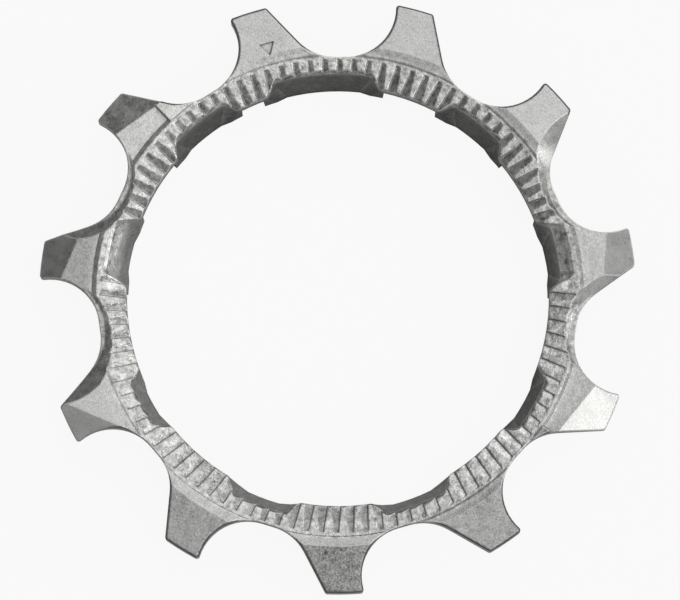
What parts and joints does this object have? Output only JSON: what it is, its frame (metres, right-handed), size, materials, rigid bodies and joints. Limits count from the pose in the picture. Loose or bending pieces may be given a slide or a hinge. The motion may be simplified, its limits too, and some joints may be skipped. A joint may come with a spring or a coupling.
{
  "type": "cassette cog",
  "caption": "Small toothed ring with a splined bore, a serrated front ring, a rear spacing collar and cut-down shifting teeth.",
  "frame": {"origin": "On the axis of the bore, in the plane of the collar's back face, which the cog lies on.", "axes": "+Z runs along the bore to the serrated front face. +X and +Y lie in the plane of the teeth; the first tooth tip stands 9.55 degrees counter-clockwise from +X."},
  "size_m": [0.0462, 0.0459, 0.0043],
  "materials": {
    "plated_steel": "satin"
  },
  "bodies": {
    "root": {"cog": "plated_steel"}
  },
  "joints": []
}
